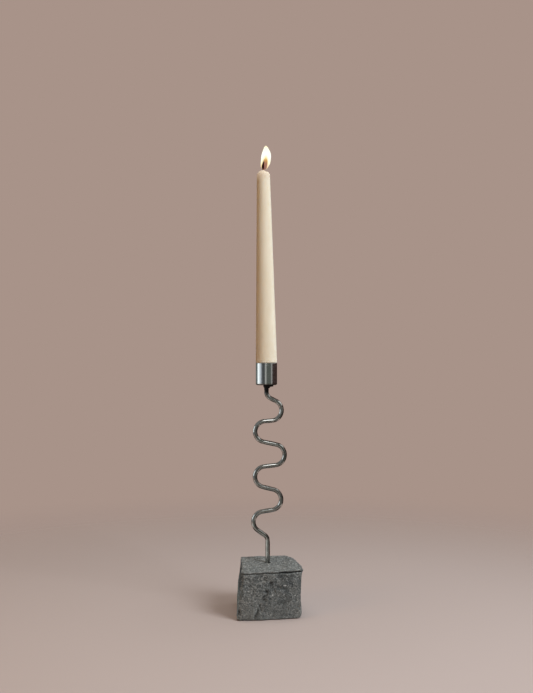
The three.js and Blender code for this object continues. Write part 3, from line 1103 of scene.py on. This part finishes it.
def mantleFinish():
    look, shader, across, height, rise = glow("flameMantle", 1.15)
    shift, middle = flame["clearMiddle"]
    wide, tall = flame["clearSize"]
    lean = times(height, flame["clearLean"])
    u = over(minus(minus(across, lean), shift), wide)
    v = over(minus(height, middle), tall)
    away = plus(times(u, u), times(v, v))
    white = ramp(rise, [
        (0.0, paint(222, 180, 166)), (0.12, paint(250, 214, 176)), (0.3, paint(255, 248, 214)),
        (0.55, paint(255, 255, 250)), (0.9, paint(255, 254, 226)), (1.0, paint(255, 240, 190)),
    ])
    rim = mixed(spread(away, 0.8, 1.6, 0, 1), paint(252, 222, 140), white)
    join(rim, shader, "Emission Color")
    solid = ramp(rise, levels([
        (0.0, 0.35), (0.06, 0.55), (0.16, 0.9), (0.3, 1.0), (0.92, 1.0), (1.0, 0.7),
    ]))
    join(times(solid, spread(away, 0.7, 1.3, 0.0, 1.0)), shader, "Alpha")
    return look


def coreFinish():
    look, shader, *_, rise = glow("flameCore", 1)
    amber = ramp(rise, [
        (0.03, paint(150, 108, 98)), (0.16, paint(158, 112, 98)), (0.30, paint(172, 122, 98)),
        (0.42, paint(210, 160, 98)), (0.52, paint(255, 228, 150)),
    ])
    join(amber, shader, "Emission Color")
    solid = levels([(0.02, 0.3), (0.12, 0.95), (0.42, 1.0), (0.55, 0.8)])
    join(ramp(rise, solid), shader, "Alpha")
    return look


def candleFlame():
    mantle = loft(flameRings(flame["mantle"], flame["mantleDepth"]))
    core = loft(flameRings(flame["core"], flame["coreDepth"], flame["coreBehind"]))
    pieces = (("flameMantle", mantle, mantleFinish()), ("flameCore", core, coreFinish()))
    for name, shape, look in pieces:
        made = addPiece(name, shape, look, "candle", crease=80)
        hide(made, "shadow", "diffuse")
    print("flame lit")


candleFlame()

# Floor, world and lamps

stage = {
    "floor": paint(198, 184, 178),
    "backdrop": paint(168, 147, 137),
    "floorRadius": 4.0,
    "floorSides": 96,
    "fade": (0.24, 0.85),  # radii where the floor melts away
    "rightSky": (0.46, 0.46, 0.46, 1),  # soft light from the right and from the left
    "leftSky": (0.085, 0.040, 0.010, 1),
    "skyTurn": (-0.35, 0.85),  # one turns into the other between these
}

lamps = [  # name, place, aim, size, power and colour
    ("keyBox", (0.85, -0.85, 0.95), (0, 0, 0.25), (0.6, 0.8), 15.4, (0.89, 0.945, 1.0)),
    ("topBox", (-0.15, 0.05, 1.45), (0, 0, 0.1), (0.9, 0.9), 5.6, (1, 1, 1)),
    ("fillBox", (-1.0, -0.7, 0.6), (0, 0, 0.1), (0.5, 0.5), 2.2, (1.0, 0.54, 0.16)),
]

cards = [  # seen by metal only: bearings to the right of the camera, brightness
    ("backCardLeft", -176, -110, (0.17, 0.18, 0.17)),
    ("darkLeft", -48, -16, (0.090, 0.095, 0.096)),
    ("slitLeft", -16, -1, (0.52, 0.52, 0.49)),
    ("greyFront", -1, 51, (0.118, 0.127, 0.112)),
    ("slitRight", 51, 66, (0.40, 0.385, 0.37)),
    ("darkRight", 66, 176, (0.050, 0.028, 0.024)),
]
cardRadius, cardTop = 0.2, 1.1
cardGain = 1.6
cardShade = [  # height, and share of the brightness there
    (0.02, (0.62, 0.61, 0.60, 1)), (0.045, (0.47, 0.46, 0.45, 1)), (0.09, (0.37, 0.36, 0.35, 1)),
    (0.125, (0.23, 0.225, 0.22, 1)), (0.15, (0.23, 0.225, 0.22, 1)), (0.175, (0.37, 0.36, 0.36, 1)),
    (0.20, (0.39, 0.39, 0.39, 1)), (0.232, (0.625, 0.625, 0.625, 1)),
]
boxes = [  # soft boxes: name, bearings, radius, heights and brightness
    ("boxLeft", (-110, -86), 0.52, (0.135, 0.40), (1.50, 1.60, 1.62)),
    ("boxLeftMiddle", (-86, -73), 0.52, (0.135, 0.40), (1.08, 1.14, 1.18)),
    ("boxLeftPale", (-73, -60), 0.52, (0.135, 0.40), (0.70, 0.75, 0.80)),
    ("boxLeftDim", (-60, -48), 0.52, (0.135, 0.40), (0.29, 0.31, 0.33)),
    ("boxLow", (-82, -30), 0.19, (0.002, 0.042), (0.55, 0.56, 0.55)),
    ("wallLeft", (-112, -46), 0.60, (0.01, 1.1), (0.28, 0.28, 0.28)),
    ("boxFront", (-15, 16), 0.185, (0.31, 0.52), (2.5, 2.5, 2.5)),
    ("boxRight", (45, 110), 0.185, (0.34, 0.42), (1, 1, 1)),
    ("boxRightLow", (60, 140), 0.185, (0.285, 0.34), (0.62, 0.62, 0.61)),
]
floorCard = {"radii": (0.055, 0.14), "height": 0.004, "colour": (0.05, 0.044, 0.04)}


def addCard(name, bearings, spine, colour, shade=None):  # spine: radius and height of both edges
    start, end = bearings
    colour = (*colour, 1)
    steps = max(2, round((end - start) / 6))
    points = []
    for i in range(steps + 1):
        bearing = math.radians(start + (end - start) * i / steps)
        points += [(r * math.sin(bearing), -r * math.cos(bearing), z) for r, z in spine]
    faces = [(2 * i, 2 * i + 1, 2 * i + 3, 2 * i + 2) for i in range(steps)]
    look, shader, place = newFinish(
        name, Base_Color=(0, 0, 0, 1), Specular_IOR_Level=0, Emission_Color=colour,
        Emission_Strength=cardGain if shade else 1)
    if shade:
        shaded = mixed(1, ramp(axes(place)["Z"], shade), colour, "MULTIPLY")
        join(shaded, shader, "Emission Color")
    card = newObject(name, newMesh(name, points, faces))
    card.data.materials.append(look)
    hide(card, "camera", "diffuse", "transmission", "shadow")


def setCards():
    for name, start, end, colour in cards:
        addCard(name, (start, end), [(cardRadius, 0.01), (cardRadius, cardTop)], colour, cardShade)
    for name, bearings, radius, heights, colour in boxes:  # glints on the rod, sheen on the cup
        addCard(name, bearings, [(radius, z) for z in heights], colour)
    spine = [(r, floorCard["height"]) for r in floorCard["radii"]]
    addCard("floorCard", (-180, 180), spine, floorCard["colour"])  # dark seen by undersides


def setFloor():
    sides = stage["floorSides"]
    ring = turned([(stage["floorRadius"], 0.0)], sides)[0].tolist()
    floor = newObject("paleFloor", newMesh("paleFloor", ring, [tuple(range(sides))]))
    look, shader, place = newFinish(
        "palePaper", Base_Color=stage["floor"], Roughness=0.9, Specular_IOR_Level=0.1)
    radius = addNode(place.id_data, "VectorMath", {0: place}, operation="LENGTH").outputs["Value"]
    join(spread(radius, *stage["fade"], 1, 0), shader, "Alpha")
    floor.data.materials.append(look)


def setWorld():
    world = bpy.data.worlds.new("paleStudio")
    bpy.context.scene.world = world
    world.use_nodes = True
    tree = world.node_tree
    ray = addNode(tree, "LightPath").outputs
    seen = calc("MAXIMUM", ray["Is Camera Ray"], ray["Is Glossy Ray"])
    seen = calc("MAXIMUM", seen, ray["Is Transmission Ray"])
    side = axes(addNode(tree, "TexCoord").outputs["Generated"])["X"]
    sky = mixed(spread(side, *stage["skyTurn"], 0, 1), stage["leftSky"], stage["rightSky"])
    light = addNode(tree, "Background", {"Color": sky, "Strength": 1})
    pale = addNode(tree, "Background", {"Color": stage["backdrop"], "Strength": 1})
    both = addNode(tree, "MixShader", {0: seen, 1: light.outputs[0], 2: pale.outputs[0]})
    tree.links.new(both.outputs[0], tree.nodes["World Output"].inputs["Surface"])


def setLamps():
    for name, place, aim, size, power, colour in lamps:
        data = bpy.data.lights.new(name, "AREA")
        data.shape = "RECTANGLE"
        data.size, data.size_y = size
        data.energy = power
        data.color = colour
        lamp = newObject(name, data)
        lamp.location = place
        hide(lamp, "glossy")
        lamp.rotation_euler = (Vector(aim) - Vector(place)).to_track_quat("-Z", "Y").to_euler()


setFloor()
setWorld()
setLamps()
setCards()
bpy.context.scene.view_settings.view_transform = "Standard"
print("stage lit")
